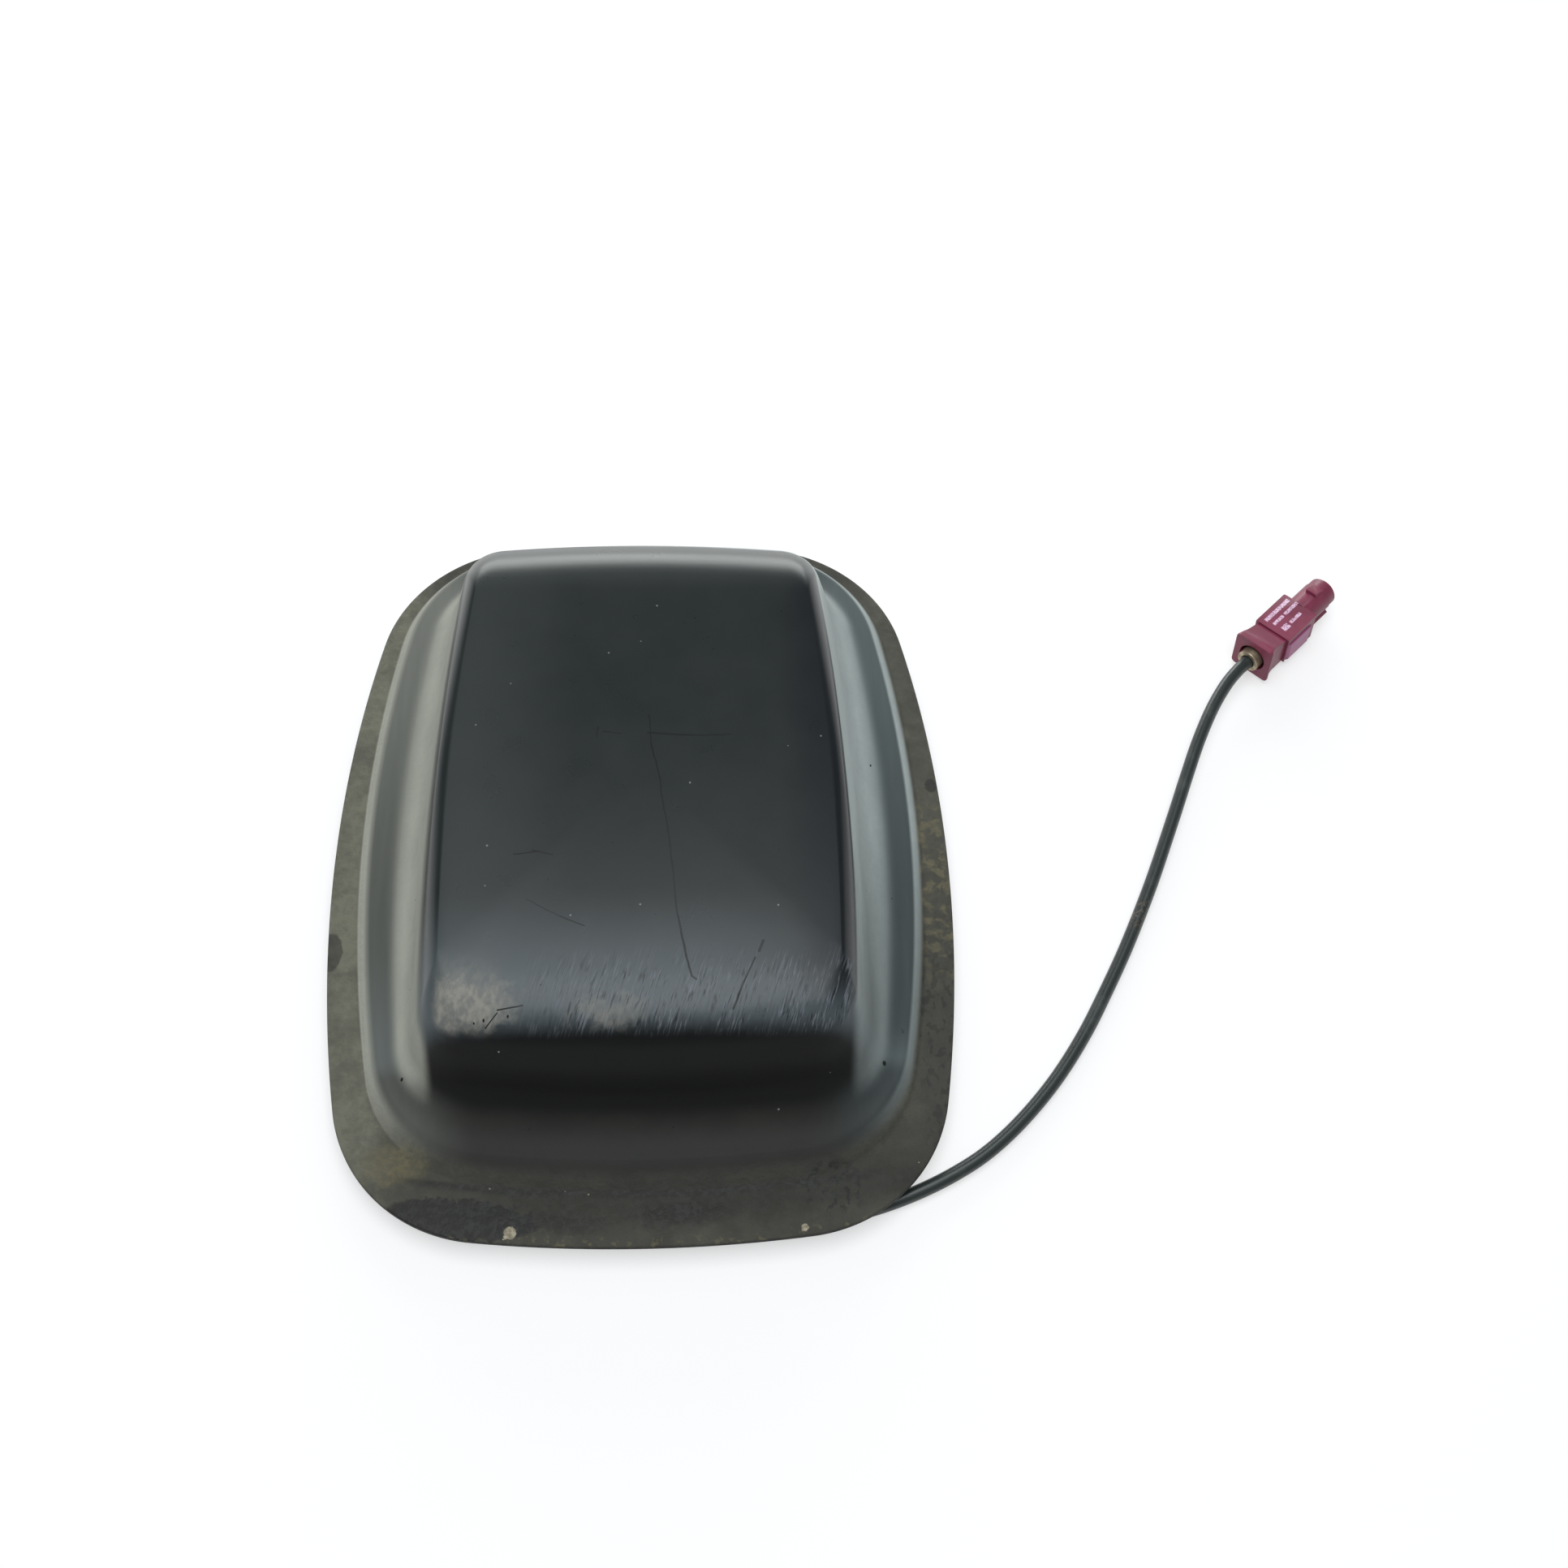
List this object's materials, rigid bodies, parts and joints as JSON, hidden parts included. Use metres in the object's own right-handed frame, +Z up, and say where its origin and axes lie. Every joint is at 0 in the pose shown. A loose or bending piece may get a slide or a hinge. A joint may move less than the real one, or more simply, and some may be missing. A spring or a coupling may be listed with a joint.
{
  "type": "car antenna",
  "caption": "Low car telephone aerial: a hump cover with a thin flange closed by a tray, with a short coaxial lead and a coded plug.",
  "frame": {"origin": "bottom centre of the body, on the surface it is stuck to, without the lead and its plug", "axes": "+Y along the body to its narrow far end, +X across it to the side where the lead leaves, +Z up"},
  "size_m": [0.2508, 0.186, 0.0374],
  "materials": {
    "cover_plastic": "satin, scuffed and dusty",
    "tray_plastic": "matt",
    "foam": "matt",
    "sealant": "satin",
    "grommet_rubber": "matt",
    "tinned_steel": "satin",
    "screw_steel": "satin",
    "radiator_brass": "satin",
    "spacer_plastic": "matt",
    "board": "satin",
    "coil_copper": "satin",
    "cable_jacket": "semi-gloss",
    "braid": "satin",
    "insulation": "matt",
    "copper": "satin",
    "solder": "semi-gloss",
    "plug_plastic": "satin",
    "lock_plastic": "satin",
    "ferrule_nickel": "satin",
    "contact_nickel": "satin",
    "contact_plastic": "matt",
    "pin_gold": "semi-gloss"
  },
  "bodies": {
    "root": {"cover": "cover_plastic", "base_tray": "tray_plastic", "mounting_pad": "foam", "cover_gasket": "sealant", "cable_grommet": "grommet_rubber", "ground_plate": "tinned_steel", "ground_screws": "screw_steel", "radiator": "radiator_brass", "spacers": "spacer_plastic", "radiator_screws": "screw_steel", "feed_board": "board", "board_parts": "coil_copper", "cable_lead_in": "cable_jacket", "cable_braid": "braid", "cable_insulation": "insulation", "cable_core": "copper", "cable_clamp": "tinned_steel", "small_screws": "screw_steel", "feed_solder": "solder", "antenna_cable": "cable_jacket", "plug_housing": "plug_plastic", "plug_lock": "lock_plastic", "crimp_ferrule": "ferrule_nickel", "shield_contact": "contact_nickel", "contact_insulator": "contact_plastic", "centre_pin": "pin_gold"}
  },
  "joints": []
}
